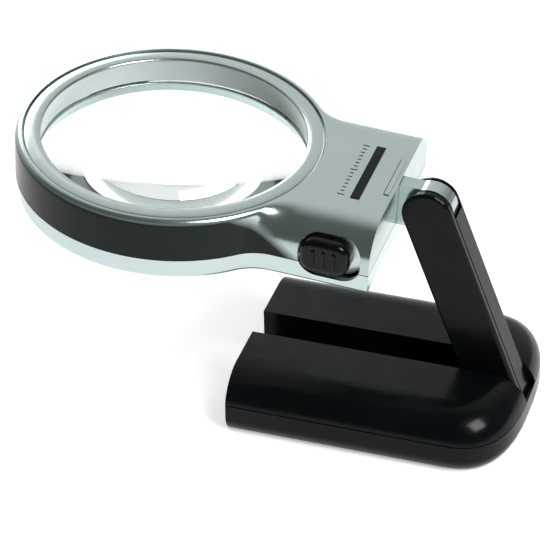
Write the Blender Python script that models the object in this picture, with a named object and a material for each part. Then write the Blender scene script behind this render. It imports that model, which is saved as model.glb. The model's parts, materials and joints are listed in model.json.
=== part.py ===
"""Folding low vision magnifier: a ringed lens head with a neck, on a forked arm in a slotted base.

Frame: metres, +Z up. The origin is on the surface the base stands on, straight below the lower hinge pin.
-X points from the base towards the lens, +X towards the base's closed end. Both hinge axes run along Y.
"""
import math

import bmesh
import bpy
from mathutils import Vector

MM = 0.001
GAP = 0.3                     # running gap between neighbouring pieces, mm

# ---- base, mm ----
BASE_FRONT = 81.7             # from the lower hinge to the open ends of the prongs
BASE_REAR = 13.9              # from the lower hinge to the closed end
BASE_HALF_WIDTH = 36.0
BASE_HEIGHT = 20.0
BASE_FLAT_HALF = 22.6         # half width of the flat top
BASE_ROLL_DROP = 11.6         # height over which the sides roll from flat to upright
BASE_SEAM = 10.4              # height of the parting line
BASE_FOOT_INSET = 2.3         # how far the underside is drawn in
BASE_END_START = -10.0        # where the sides begin to round into the closed end
BASE_END_POWER = 2.9
SLOT_HALF = 6.0
FLOOR = 1.5                   # thickness under the slot
TRAY_FLOOR = 2.2              # thickness under the prongs
WALL = 1.8
SILL_INNER = 12.75            # inner face of the wall that closes the slot at the rear

# ---- arm, mm ----
ARM_LEAN = 20.1               # degrees from upright at rest, towards the lens
HINGE_HEIGHT = 6.2            # lower pin above the table
HINGE_OFFSET = 4.1            # arm centre line from the lower pin, towards the back of the arm
ARM_LENGTH = 74.6             # lower pin to upper pin, along the arm
ARM_RADIUS = 8.4              # half width, and radius of the round top
ARM_HALF_THICK = 5.7
PLATE_INNER = -2.7            # inner face of the near side plate
CHEEK_INNER = 4.5             # inner face of the thin far cheek
FOOT_RADIUS = 4.3             # round of the foot below the pin
HEEL_RADIUS = 5.2             # round of the heel at the back of the foot

# ---- head, mm, measured from the upper pin ----
HEAD_TILT = 3.9               # degrees, ring end raised
RING_REACH = 87.7             # upper pin to ring centre
RING_RADIUS = 52.0
HEAD_TOP = 8.4
HEAD_BOTTOM = -13.5
HEAD_SEAM = -6.5
NECK_END = 10.5               # upper pin to the flat end of the neck
NECK_HALF_WIDTH = 34.5
NECK_FLAT_HALF = 22.0
NECK_ROLL_DROP = 11.5
NECK_FILLET = 15.0            # fillet between ring and neck in plan
LENS_RADIUS = 45.3
LENS_CURVE = 175.0            # radius of both lens faces
LENS_EDGE = 3.0
LENS_TOP = -1.2               # top of the lens edge
BEZEL_OUTER = 49.4
BEZEL_INNER = 43.7
BEZEL_DEPTH = 1.6             # how deep the bezel's rim sits in the upper shell
BEZEL_SKIRT = 46.0            # outside of the bezel below its rim, and of the lens guard
LED_RADIUS = 1.5
WASHER_RADIUS = 5.5
SHELL_ROOF = 1.9
NECK_FACE = -NECK_END         # X of the neck's flat end
LUG_HALF_HEIGHT = 7.6
DRUM_LOW, DRUM_HIGH = -2.0, 3.8   # faces of the knuckle's drum along the hinge
UPPER_PIN_RADIUS = 2.0
PIN_RADIUS = 1.5              # lower pin
BUSH_RADIUS = 2.6

# ---- inside and under the head, mm, measured from the upper pin ----
CELL_RADIUS = 5.2
CELL_LENGTH = 44.5
CELL_X = (-31.6, -20.6)
CELL_Y = 3.5                  # middle of the cells
CELL_Z = -5.0
DOOR_X = (-36.0, -13.2)
DOOR_HALF = 27.0
LED_ANGLE = 62.0
LED_PATH = 47.9               # radius on which the two lamps sit
HEAD_SCREW_PATH = 47.9
SWITCH_X = -23.6              # centre of the slide switch along the neck
SWITCH_Z = -3.2
SWITCH_WALL = -29.3           # Y of the floor of the switch recess
SWITCH_TRAVEL = 3.0
SURROUND_SIZE = (20.0, 14.6)
SURROUND_CORNER = 6.2
KNOB_SIZE = (16.4, 12.2)
KNOB_CORNER = 4.6
KNOB_X = SWITCH_X - SWITCH_TRAVEL / 2
BAR_X = -21.5                 # centre of the printed bar
BAR_Y = (-15.6, 15.4)
BOARD_X = (-34.0, -17.0)
BOARD_Y = (-19.0, 20.0)
RIB_X = -12.6                 # centre of the low rib beside the neck's end
RIB_Y = (-10.0, 11.0)

# ---- fastener and pad positions, mm ----
SCREW_SPOTS = [(-70.0, 20.0), (-4.0, 20.0)]
PAD_SPOTS = [(-74.0, 26.0), (3.0, 24.0)]
PAD_RADIUS = 4.0
WEIGHT_X = (-61.0, -13.0)
WEIGHT_Y = (11.0, 22.0)
WEIGHT_HEIGHT = 5.0
HEEL_CENTRE = HINGE_OFFSET + ARM_RADIUS - HEEL_RADIUS
ARM_SCREW_SPOTS = [(HINGE_OFFSET, 14.0), (HINGE_OFFSET, 36.0), (HINGE_OFFSET, 57.0)]

RUBBER_BLACK = (0.02, 0.02, 0.02)
SATIN_BLACK = (0.012, 0.014, 0.015)
SILVER = (0.56, 0.58, 0.58)


# ---------------------------------------------------------------- materials and objects

def material(name, colour, roughness, metallic=0.0, transmission=0.0):
    mat = bpy.data.materials.get(name)
    if mat:
        return mat
    mat = bpy.data.materials.new(name)
    mat.use_nodes = True
    shader = mat.node_tree.nodes["Principled BSDF"]
    shader.inputs["Base Color"].default_value = (*colour, 1.0)
    shader.inputs["Roughness"].default_value = roughness
    shader.inputs["Metallic"].default_value = metallic
    shader.inputs["Transmission Weight"].default_value = transmission
    mat.diffuse_color = (*colour, 1.0)
    return mat


MATERIALS = {
    "silver_paint": (SILVER, 0.28, 0.6, 0.0),
    "silver_inner": ((0.50, 0.51, 0.51), 0.22, 0.7, 0.0),
    "black_plastic": (SATIN_BLACK, 0.32, 0.0, 0.0),
    "black_gloss": ((0.008, 0.008, 0.009), 0.16, 0.0, 0.0),
    "pale_plastic": ((0.55, 0.58, 0.60), 0.4, 0.0, 0.0),
    "lens_acrylic": ((0.98, 0.99, 0.99), 0.02, 0.0, 1.0),
    "rubber": (RUBBER_BLACK, 0.8, 0.0, 0.0),
    "steel": ((0.6, 0.6, 0.6), 0.3, 1.0, 0.0),
    "brass": ((0.75, 0.6, 0.3), 0.35, 1.0, 0.0),
    "cell_wrap": ((0.05, 0.12, 0.3), 0.4, 0.0, 0.0),
    "board_green": ((0.02, 0.2, 0.08), 0.45, 0.0, 0.0),
    "led_clear": ((0.9, 0.92, 0.95), 0.1, 0.0, 0.6),
    "ink_black": ((0.01, 0.01, 0.01), 0.5, 0.0, 0.0),
}


def add_object(name, bm, mat, parent=None, smooth=35.0):
    """Turn a bmesh in millimetres into a named object in metres."""
    bmesh.ops.recalc_face_normals(bm, faces=bm.faces)
    bmesh.ops.scale(bm, vec=(MM, MM, MM), verts=bm.verts)
    mesh = bpy.data.meshes.new(name)
    bm.to_mesh(mesh)
    bm.free()
    mesh.shade_smooth()
    mesh.set_sharp_from_angle(angle=math.radians(smooth))
    obj = bpy.data.objects.new(name, mesh)
    bpy.context.collection.objects.link(obj)
    if mat:
        mesh.materials.append(material(mat, *MATERIALS[mat]))
    if parent:
        obj.parent = parent
    return obj


def add_frame(name, location, turn_y=0.0):
    """An empty on a joint axis; the pieces of one moving body hang from it."""
    empty = bpy.data.objects.new(name, None)
    empty.location = Vector(location) * MM
    empty.rotation_euler = (0.0, math.radians(turn_y), 0.0)
    bpy.context.collection.objects.link(empty)
    return empty


def boolean(obj, bm, operation="DIFFERENCE"):
    """Cut or join a bmesh in millimetres, given in the object's own frame."""
    tool = add_object(f"{obj.name}_{operation.lower()}_{len(obj.modifiers)}", bm, None, obj.parent)
    tool.hide_render = True
    tool.display_type = "WIRE"
    modifier = obj.modifiers.new(tool.name, "BOOLEAN")
    modifier.operation = operation
    modifier.object = tool
    modifier.solver = "EXACT"
    return obj


# ---------------------------------------------------------------- shapes, all in millimetres

def arc(cx, cy, radius, start, end, steps):
    """Points of an arc; angles in degrees, both ends included."""
    points = []
    for i in range(steps + 1):
        a = math.radians(start + (end - start) * i / steps)
        points.append((cx + radius * math.cos(a), cy + radius * math.sin(a)))
    return points


def loft(sections, bm=None):
    """Skin a stack of closed loops with equal point counts, and cap both ends."""
    bm = bm or bmesh.new()
    loops = [[bm.verts.new(p) for p in section] for section in sections]
    count = len(loops[0])
    for low, high in zip(loops, loops[1:]):
        for i in range(count):
            j = (i + 1) % count
            bm.faces.new((low[i], low[j], high[j], high[i]))
    bm.faces.new(loops[0])
    bm.faces.new(loops[-1])
    return bm


def prism(outline, low, high, axis="Z", bm=None):
    """Extrude a plane outline; the outline lies in XY for axis Z and in XZ for axis Y."""
    if axis == "Z":
        sections = [[(x, y, level) for x, y in outline] for level in (low, high)]
    else:
        sections = [[(x, level, z) for x, z in outline] for level in (low, high)]
    return loft(sections, bm)


def box(x0, x1, y0, y1, z0, z1, bm=None):
    return prism([(x0, y0), (x1, y0), (x1, y1), (x0, y1)], z0, z1, bm=bm)


def disc(cx, cy, radius, low, high, axis="Z", steps=16, bm=None):
    """A round bar; its axis runs along Z or Y."""
    first = 90.0 / steps
    outline = arc(cx, cy, radius, first, first + 360 - 360 / steps, steps - 1)
    return prism(outline, low, high, axis, bm)


def turned(profile, cx=0.0, cy=0.0, axis="Z", steps=48, bm=None, phase=0.0):
    """Revolve a closed profile of (radius, level) points about an axis along Z or Y."""
    bm = bm or bmesh.new()
    rings = []
    for radius, level in profile:
        ring = []
        for k in range(steps if radius > 0 else 1):
            a = 2 * math.pi * (k + phase) / steps
            u, v = cx + radius * math.cos(a), cy + radius * math.sin(a)
            ring.append(bm.verts.new((u, v, level) if axis == "Z" else (u, level, v)))
        rings.append(ring)
    for ring, following in zip(rings, rings[1:] + rings[:1]):
        for k in range(steps):
            n = (k + 1) % steps
            if len(ring) > 1 and len(following) > 1:
                bm.faces.new((ring[k], ring[n], following[n], following[k]))
            elif len(ring) > 1:
                bm.faces.new((ring[k], ring[n], following[0]))
            elif len(following) > 1:
                bm.faces.new((ring[0], following[n], following[k]))
    return bm


def screw(x, y, head_z, length, shank, head, seat=0.6):
    """A flat head screw driven upwards: head at the bottom, shank above it."""
    profile = [(0.0, head_z), (head - 0.2, head_z), (head, head_z + 0.2), (head, head_z + seat),
               (shank, head_z + seat), (shank, head_z + length - 0.8), (0.0, head_z + length)]
    return turned(profile, x, y, steps=10)


def half_ellipse_inset(drop, height, run):
    """How far a rolled side has drawn in, at a drop below the top."""
    rise = max(0.0, min(1.0, 1.0 - drop / height))
    return run * (1.0 - math.sqrt(max(0.0, 1.0 - rise * rise)))


# ---------------------------------------------------------------- base

def base_outline(inset, front=-BASE_FRONT, steps=9):
    """Plan of the whole base: straight sides, rounded closed end, drawn in by an inset."""
    half = BASE_HALF_WIDTH - inset
    rear = BASE_REAR - inset * 0.9
    side = []
    for i in range(steps + 1):
        t = math.pi / 2 * i / steps
        x = BASE_END_START + (rear - BASE_END_START) * math.sin(t) ** (2 / BASE_END_POWER)
        y = half * math.cos(t) ** (2 / BASE_END_POWER) if i < steps else 0.0
        side.append((x, y))
    near = [(front, -half)] + [(x, -y) for x, y in side]
    far = [(x, y) for x, y in side[-2::-1]] + [(front, half)]
    return near + far


def base_section_inset(z):
    """Inset of the outside of the base at height z."""
    if z >= BASE_HEIGHT - BASE_ROLL_DROP:
        return half_ellipse_inset(BASE_HEIGHT - z, BASE_ROLL_DROP, BASE_HALF_WIDTH - BASE_FLAT_HALF)
    if z >= 5.0:
        return 0.0
    return BASE_FOOT_INSET * ((5.0 - z) / 5.0) ** 2


def base_solid(levels):
    """The outside of the base as a stack of plans."""
    sections = []
    for z in levels:
        plan = base_outline(base_section_inset(z))
        sections.append([(x, y, z) for x, y in plan])
    return loft(sections)


def roll_levels(low, high, steps):
    """Heights that crowd together towards the top of a rolled side."""
    return [low + (high - low) * math.sin(math.pi / 2 * i / steps) for i in range(steps + 1)]


def build_base():
    """Tray, two prong covers, pads and screws."""
    tray_levels = [0.0, 0.5, 1.6, 3.2, 5.0, BASE_SEAM - GAP / 2]
    tray = add_object("base_tray", base_solid(tray_levels), "black_plastic")
    top = BASE_SEAM + 1.0
    prong_inner = SLOT_HALF + WALL
    plan = [(x, y) for x, y in base_outline(WALL, -BASE_FRONT + WALL) if y > prong_inner]
    plan += [(plan[-1][0], prong_inner), (plan[0][0], prong_inner)]
    for side in (1, -1):
        boolean(tray, prism([(x, y * side) for x, y in plan], TRAY_FLOOR, top))
    boolean(tray, box(-BASE_FRONT - 1, SILL_INNER, -SLOT_HALF, SLOT_HALF, FLOOR, top))
    for side in (1, -1):
        for x, y in SCREW_SPOTS:
            boolean(tray, disc(x, y * side, 1.5, -1.0, TRAY_FLOOR + 1.0, steps=12))
            boolean(tray, disc(x, y * side, 2.6, -1.0, 1.1, steps=12))
        for x, y in PAD_SPOTS:
            boolean(tray, disc(x, y * side, PAD_RADIUS + GAP, -1.0, 1.2, steps=14))
    boolean(tray, disc(0.0, HINGE_HEIGHT, PIN_RADIUS + GAP, -SLOT_HALF - 2 * WALL, SLOT_HALF + 2 * WALL, "Y"))

    levels = roll_levels(BASE_SEAM + GAP / 2, BASE_HEIGHT, 6)
    cavity_top = BASE_HEIGHT - WALL
    cavity_levels = [BASE_SEAM - 1.0] + roll_levels(BASE_SEAM + 1.5, cavity_top, 3)
    for name, side in (("base_cover_near", -1), ("base_cover_far", 1)):
        cover = add_object(name, base_solid(levels), "black_plastic")
        sections = []
        for z in cavity_levels:
            plan = base_outline(base_section_inset(min(z + WALL, BASE_HEIGHT)) + WALL, -BASE_FRONT + WALL)
            sections.append([(x, y, z) for x, y in plan])
        boolean(cover, loft(sections))
        for x, y in SCREW_SPOTS:
            boss = turned([(1.5, TRAY_FLOOR + GAP), (3.0, TRAY_FLOOR + GAP), (3.0, cavity_top + 0.6),
                           (0.0, cavity_top + 0.6), (0.0, 12.0), (1.5, 12.0)], x, y * side, steps=12)
            boolean(cover, boss, "UNION")
        rear = [(min(SILL_INNER - 1.0, BASE_REAR - 0.9 * base_section_inset(z) - 1.2), z)
                for z in roll_levels(BASE_SEAM + GAP / 2, cavity_top + 0.6, 4)]
        wall = prism([(-BASE_FRONT + 0.4, BASE_SEAM + GAP / 2), *rear, (-BASE_FRONT + 0.4, cavity_top + 0.6)],
                     side * SLOT_HALF, side * (SLOT_HALF + WALL), "Y")
        boolean(cover, wall, "UNION")
        away = sorted((side * SLOT_HALF, -side * (BASE_HALF_WIDTH + 2)))
        boolean(cover, box(-BASE_FRONT - 2, BASE_REAR + 2, *away, -1.0, BASE_HEIGHT + 2))

    both_sides = [(x, y * side) for side in (-1, 1) for x, y in PAD_SPOTS]
    for number, (x, y) in enumerate(both_sides, 1):
        pad = [(0.0, 0.0), (PAD_RADIUS - 0.3, 0.0), (PAD_RADIUS, 0.25), (PAD_RADIUS, 0.9), (0.0, 0.9)]
        add_object(f"base_pad_{number}", turned(pad, x, y, steps=14), "rubber")
    both_sides = [(x, y * side) for side in (-1, 1) for x, y in SCREW_SPOTS]
    for number, (x, y) in enumerate(both_sides, 1):
        add_object(f"base_screw_{number}", screw(x, y, 0.1, 9.5, 1.1, 2.2, 0.7), "steel")
    for name, side in (("base_weight_near", -1), ("base_weight_far", 1)):
        low, high = sorted(side * y for y in WEIGHT_Y)
        foot = TRAY_FLOOR + GAP
        add_object(name, box(*WEIGHT_X, low, high, foot, foot + WEIGHT_HEIGHT), "steel")


# ---------------------------------------------------------------- arm

def arm_outline(inset=0.0, steps=7):
    """Side view of the arm in its own frame: X across, Z along, lower pin at the origin."""
    left = HINGE_OFFSET - ARM_RADIUS
    tangent = 270.0 - math.degrees(math.asin((HEEL_RADIUS - FOOT_RADIUS) / HEEL_CENTRE))
    points = arc(HINGE_OFFSET, ARM_LENGTH, ARM_RADIUS - inset, 0, 180, 2 * steps)
    points += arc(left + FOOT_RADIUS, 0.0, FOOT_RADIUS - inset, 180, tangent, steps)
    points += arc(HEEL_CENTRE, 0.0, HEEL_RADIUS - inset, tangent, 360, steps)
    return points


def build_arm(frame):
    """Channel with the thin far cheek, near side plate, screws and the bush in the foot."""
    body = prism(arm_outline(), PLATE_INNER + GAP / 2, ARM_HALF_THICK - 0.5, "Y")
    channel = add_object("arm_channel", body, "black_plastic", frame)
    edges = ((ARM_HALF_THICK - 0.6, 0.0), (ARM_HALF_THICK - 0.2, 0.12), (ARM_HALF_THICK, 0.5))
    boolean(channel, loft([[(x, y, z) for x, z in arm_outline(inset)] for y, inset in edges]), "UNION")
    top = ARM_LENGTH - ARM_RADIUS - 3.2
    left = HINGE_OFFSET - ARM_RADIUS
    right = HINGE_OFFSET + ARM_RADIUS
    inside = [(right - 1.6, top), (left + 1.6, top), (left + 1.6, 5.5), (right - 1.6, 5.5)]
    boolean(channel, prism(inside, PLATE_INNER - 1, CHEEK_INNER, "Y"))
    posts = bmesh.new()
    for x, z in ARM_SCREW_SPOTS:
        turned([(1.3, PLATE_INNER + GAP / 2), (2.6, PLATE_INNER + GAP / 2), (2.6, CHEEK_INNER + 0.3),
                (0.0, CHEEK_INNER + 0.3), (0.0, 3.0), (1.3, 3.0)], x, z, "Y", 12, posts)
    boolean(channel, posts, "UNION")
    boolean(channel, disc(HINGE_OFFSET, ARM_LENGTH, ARM_RADIUS + 0.8, PLATE_INNER - 1, CHEEK_INNER, "Y", 28))
    notch = [(left - 1, ARM_LENGTH - 9.3), (0.3, ARM_LENGTH - 9.3), (0.3, ARM_LENGTH), (left - 1, ARM_LENGTH)]
    boolean(channel, prism(notch, PLATE_INNER - 1, CHEEK_INNER, "Y"))
    pin_hole = UPPER_PIN_RADIUS + GAP
    boolean(channel, disc(HINGE_OFFSET, ARM_LENGTH, pin_hole, CHEEK_INNER - 1, ARM_HALF_THICK + 1, "Y"))
    boolean(channel, disc(0.0, 0.0, BUSH_RADIUS + GAP, -ARM_HALF_THICK - 1, ARM_HALF_THICK + 1, "Y"))

    edges = ((-ARM_HALF_THICK, 1.0), (-ARM_HALF_THICK + 0.3, 0.35), (-ARM_HALF_THICK + 0.9, 0.0),
             (PLATE_INNER - 0.5, 0.0), (PLATE_INNER - GAP / 2, 0.45))
    body = loft([[(x, y, z) for x, z in arm_outline(inset)] for y, inset in edges])
    plate = add_object("arm_side_plate", body, "black_plastic", frame)
    boolean(plate, disc(HINGE_OFFSET, ARM_LENGTH, pin_hole, -ARM_HALF_THICK + 1.2, PLATE_INNER + 1, "Y"))
    boolean(plate, disc(0.0, 0.0, BUSH_RADIUS + GAP, -ARM_HALF_THICK - 1, PLATE_INNER + 1, "Y"))
    for x, z in ARM_SCREW_SPOTS:
        boolean(plate, disc(x, z, 1.3, -4.2, PLATE_INNER + 1, "Y", 12))
    for x, z in ARM_SCREW_SPOTS:
        boolean(channel, disc(x, z, 1.3, 2.5, ARM_HALF_THICK + 1, "Y", 12))
        boolean(channel, disc(x, z, 2.3, CHEEK_INNER + 0.2, ARM_HALF_THICK + 1, "Y", 12))

    for number, (x, z) in enumerate(ARM_SCREW_SPOTS, 1):
        profile = [(0.0, 5.6), (1.7, 5.6), (2.0, 5.3), (2.0, CHEEK_INNER + 0.5), (1.0, CHEEK_INNER + 0.5),
                   (1.0, -3.2), (0.0, -3.9)]
        add_object(f"arm_screw_{number}", turned(profile, x, z, "Y", 12), "steel", frame)
    bush = [(PIN_RADIUS + GAP, -5.5), (BUSH_RADIUS, -5.5), (BUSH_RADIUS, 5.5), (PIN_RADIUS + GAP, 5.5)]
    add_object("lower_friction_bush", turned(bush, axis="Y", steps=16), "brass", frame)


def build_lower_pin(frame):
    """The fixed pin across the slot and its two clips."""
    reach = SLOT_HALF + WALL + 1.6
    pin = [(0.0, -reach), (PIN_RADIUS - 0.3, -reach), (PIN_RADIUS, -reach + 0.3), (PIN_RADIUS, reach - 0.3),
           (PIN_RADIUS - 0.3, reach), (0.0, reach)]
    add_object("lower_hinge_pin", turned(pin, axis="Y", steps=16), "steel", frame)
    for name, side in (("lower_pin_clip_near", -1), ("lower_pin_clip_far", 1)):
        inner = side * (SLOT_HALF + WALL + GAP)
        outer = side * (SLOT_HALF + WALL + GAP + 0.7)
        profile = [(PIN_RADIUS + GAP, inner), (3.2, inner), (3.2, outer), (PIN_RADIUS + GAP, outer)]
        add_object(name, turned(profile, axis="Y", steps=14), "steel", frame)


# ---------------------------------------------------------------- upper hinge

def build_upper_pin(frame):
    """The pin that turns in the fork, and the friction washers each side of the lug."""
    tip = UPPER_PIN_RADIUS - 0.3
    pin = [(0.0, -4.2), (tip, -4.2), (UPPER_PIN_RADIUS, -3.9), (UPPER_PIN_RADIUS, 5.2), (tip, 5.5),
           (0.0, 5.5)]
    add_object("upper_hinge_pin", turned(pin, axis="Y", steps=16), "steel", frame)
    for name, low, high in (("friction_washer_near", PLATE_INNER + 0.1, DRUM_LOW - 0.1),
                            ("friction_washer_far", DRUM_HIGH + 0.1, CHEEK_INNER - 0.1)):
        profile = [(UPPER_PIN_RADIUS + GAP, low), (WASHER_RADIUS, low), (WASHER_RADIUS, high),
                   (UPPER_PIN_RADIUS + GAP, high)]
        add_object(name, turned(profile, axis="Y", steps=16), "steel", frame)


# ---------------------------------------------------------------- head

def head_outline(ring_inset, neck_inset, end_inset=0.0, ring_steps=38, fillet_steps=5):
    """Plan of ring and neck together, both drawn in by their own insets."""
    radius = RING_RADIUS - ring_inset
    half = NECK_HALF_WIDTH - neck_inset
    fillet = NECK_FILLET + ring_inset
    centre_y = half + fillet
    centre_x = math.sqrt(max(0.0, (radius + fillet) ** 2 - centre_y ** 2))
    touch = math.degrees(math.atan2(centre_y, centre_x))
    ring = arc(0.0, 0.0, radius, touch, 360 - touch, ring_steps)
    near_fillet = arc(centre_x, -centre_y, fillet, 180 - touch, 90, fillet_steps)
    far_fillet = arc(centre_x, centre_y, fillet, 270, 180 + touch, fillet_steps)
    end = RING_REACH - NECK_END - end_inset
    corners = [(end, -half), (end, half)]
    points = ring[1:-1] + near_fillet + corners + far_fillet
    return [(x - RING_REACH, y) for x, y in points]


def head_insets(z):
    """Ring and neck insets of the head's outside at height z above the upper pin."""
    drop = HEAD_TOP - z
    if z >= HEAD_SEAM:
        ring = half_ellipse_inset(drop, 2.6, 2.2)
        neck = half_ellipse_inset(drop, NECK_ROLL_DROP, NECK_HALF_WIDTH - NECK_FLAT_HALF)
        return ring, neck
    depth = (HEAD_SEAM - z) / (HEAD_SEAM - HEAD_BOTTOM)
    draw = 0.7 * depth + 0.5 * max(0.0, depth - 0.85) / 0.15
    return draw, draw


def head_solid(levels, wall=0.0, roof=0.0):
    """The head's outside as a stack of plans, or its hollow when a wall is given."""
    sections = []
    for z in levels:
        ring, neck = head_insets(z + roof)
        plan = head_outline(ring + wall, neck + wall, wall)
        sections.append([(x, y, z) for x, y in plan])
    return loft(sections)


def rounded_oblong(cx, cz, size, corner, inset=0.0, steps=5):
    """A rectangle with rounded corners in the XZ plane, drawn in by an inset."""
    radius = corner - inset
    reach_x = size[0] / 2 - corner
    reach_z = size[1] / 2 - corner
    points = []
    for sx, sz, start in ((1, 1, 0), (-1, 1, 90), (-1, -1, 180), (1, -1, 270)):
        points += arc(cx + sx * reach_x, cz + sz * reach_z, radius, start, start + 90, steps)
    return points


def build_shells(frame):
    """Upper and lower shells of ring and neck, with their openings."""
    upper_levels = [HEAD_SEAM + GAP / 2] + roll_levels(-3.1, HEAD_TOP, 5)
    upper = add_object("head_upper_shell", head_solid(upper_levels), "silver_paint", frame)
    ledge = HEAD_TOP - BEZEL_DEPTH
    hollow_levels = [HEAD_SEAM - 1.0] + roll_levels(-4.5, ledge - SHELL_ROOF, 3)
    boolean(upper, head_solid(hollow_levels, WALL, SHELL_ROOF))
    skirt = BEZEL_SKIRT + GAP
    seat = [(skirt, ledge), (BEZEL_OUTER + GAP, ledge), (BEZEL_OUTER + GAP, HEAD_TOP + 2),
            (0.0, HEAD_TOP + 2), (0.0, HEAD_SEAM - 2), (skirt, HEAD_SEAM - 2)]
    boolean(upper, turned(seat, -RING_REACH, 0.0, steps=60, phase=0.5))

    lower_levels = [HEAD_BOTTOM, HEAD_BOTTOM + 0.5, HEAD_BOTTOM + 1.4, -9.0, HEAD_SEAM - GAP / 2]
    lower = add_object("head_lower_shell", head_solid(lower_levels), "silver_paint", frame)
    boolean(lower, head_solid([HEAD_BOTTOM + WALL, -9.0, HEAD_SEAM + 1.0], WALL))
    guard_top = LENS_TOP - LENS_EDGE - 0.8
    guard = [(42.5, HEAD_BOTTOM + 0.6), (BEZEL_SKIRT, HEAD_BOTTOM + 0.6), (BEZEL_SKIRT, guard_top),
             (42.5, guard_top)]
    boolean(lower, turned(guard, -RING_REACH, 0.0, steps=60), "UNION")
    mouth = [(0.0, HEAD_BOTTOM - 2), (44.6, HEAD_BOTTOM - 2), (44.0, HEAD_BOTTOM + 1.0), (44.0, LENS_TOP),
             (0.0, LENS_TOP)]
    boolean(lower, turned(mouth, -RING_REACH, 0.0, steps=60, phase=0.5))

    for shell in (upper, lower):
        recess = rounded_oblong(SWITCH_X, SWITCH_Z, SURROUND_SIZE, SURROUND_CORNER, -GAP)
        boolean(shell, prism(recess, -NECK_HALF_WIDTH - 2, SWITCH_WALL + 1.5, "Y"))
        boolean(shell, box(NECK_FACE - WALL - 0.1, NECK_FACE + 2, DRUM_LOW - 0.2, DRUM_HIGH + 0.2,
                           -LUG_HALF_HEIGHT - GAP, LUG_HALF_HEIGHT + GAP))
    boolean(lower, box(DOOR_X[0] - GAP, DOOR_X[1] + GAP, -DOOR_HALF - GAP, DOOR_HALF + GAP,
                       HEAD_BOTTOM - 1, HEAD_BOTTOM + 3))
    for angle in (LED_ANGLE, -LED_ANGLE):
        x, y = ring_spot(LED_PATH, angle)
        boolean(lower, disc(x, y, LED_RADIUS + GAP, HEAD_BOTTOM - 1, HEAD_BOTTOM + 4, steps=14))
    posts = bmesh.new()
    for x, y, top in head_screw_spots():
        boolean(lower, disc(x, y, 1.2, HEAD_BOTTOM - 1, HEAD_BOTTOM + 4, steps=12))
        boolean(lower, disc(x, y, 1.9, HEAD_BOTTOM - 1, HEAD_BOTTOM + 0.9, steps=12))
        turned([(1.05, HEAD_BOTTOM + 2.2), (1.75, HEAD_BOTTOM + 2.2), (1.75, top), (0.0, top), (0.0, -2.0),
                (1.05, -2.0)], x, y, steps=12, bm=posts)
    boolean(upper, posts, "UNION")
    rib = box(RIB_X - 0.8, RIB_X + 0.8, *RIB_Y, HEAD_TOP - 0.5, HEAD_TOP + 0.35)
    boolean(upper, rib, "UNION")


def ring_spot(radius, angle):
    a = math.radians(angle)
    return radius * math.cos(a) - RING_REACH, radius * math.sin(a)


def head_screw_spots():
    """X, Y and post top of the screws that hold the shells together."""
    ring = [(*ring_spot(HEAD_SCREW_PATH, angle), HEAD_TOP - 2.8) for angle in (105.0, 180.0, 255.0)]
    return ring + [(-14.5, 30.2, HEAD_TOP - 5.2)]


def build_lens(frame):
    """Bezel ring with its flared inner wall, and the biconvex lens below it."""
    top = HEAD_TOP
    bezel = [(BEZEL_INNER, top - 0.7), (BEZEL_INNER + 0.4, top - 0.35), (BEZEL_OUTER - 0.5, top),
             (BEZEL_OUTER, top - 0.3), (BEZEL_OUTER, top - BEZEL_DEPTH + GAP),
             (BEZEL_SKIRT, top - BEZEL_DEPTH + GAP), (BEZEL_SKIRT, LENS_TOP + 0.5),
             (BEZEL_INNER + 0.9, LENS_TOP + 0.5)]
    add_object("lens_bezel", turned(bezel, -RING_REACH, 0.0, steps=60), "silver_inner", frame)
    sag = LENS_CURVE - math.sqrt(LENS_CURVE ** 2 - LENS_RADIUS ** 2)
    steps = 5
    face = []
    for i in range(steps + 1):
        r = LENS_RADIUS * i / steps
        face.append((r, sag - (LENS_CURVE - math.sqrt(LENS_CURVE ** 2 - r * r))))
    upper = [(r, LENS_TOP + h) for r, h in face]
    lower = [(r, LENS_TOP - LENS_EDGE - h) for r, h in reversed(face)]
    add_object("lens", turned(upper + lower, -RING_REACH, 0.0, steps=48), "lens_acrylic", frame)


def build_lug(frame):
    """The silver knuckle: a drum on the upper pin, a web and a tongue held inside the neck."""
    drum = disc(0.0, 0.0, ARM_RADIUS - 0.2, DRUM_LOW, DRUM_HIGH, "Y", 36)
    lug = add_object("hinge_lug", drum, "silver_paint", frame)
    inside = NECK_FACE - WALL - GAP
    reach = inside - 1.5
    step = inside + 2 * GAP
    web = [(reach, -5.6), (step, -5.6), (step, -LUG_HALF_HEIGHT), (-2.0, -LUG_HALF_HEIGHT),
           (-2.0, LUG_HALF_HEIGHT), (step, LUG_HALF_HEIGHT), (step, 4.0), (reach, 4.0)]
    boolean(lug, prism(web, DRUM_LOW + 0.1, DRUM_HIGH - 0.1, "Y"), "UNION")
    boolean(lug, box(reach, inside, DRUM_LOW - 3.0, DRUM_HIGH + 3.0, -5.4, 3.8), "UNION")
    boolean(lug, disc(0.0, 0.0, UPPER_PIN_RADIUS + GAP, DRUM_LOW - 1, DRUM_HIGH + 1, "Y", 16))


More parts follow.
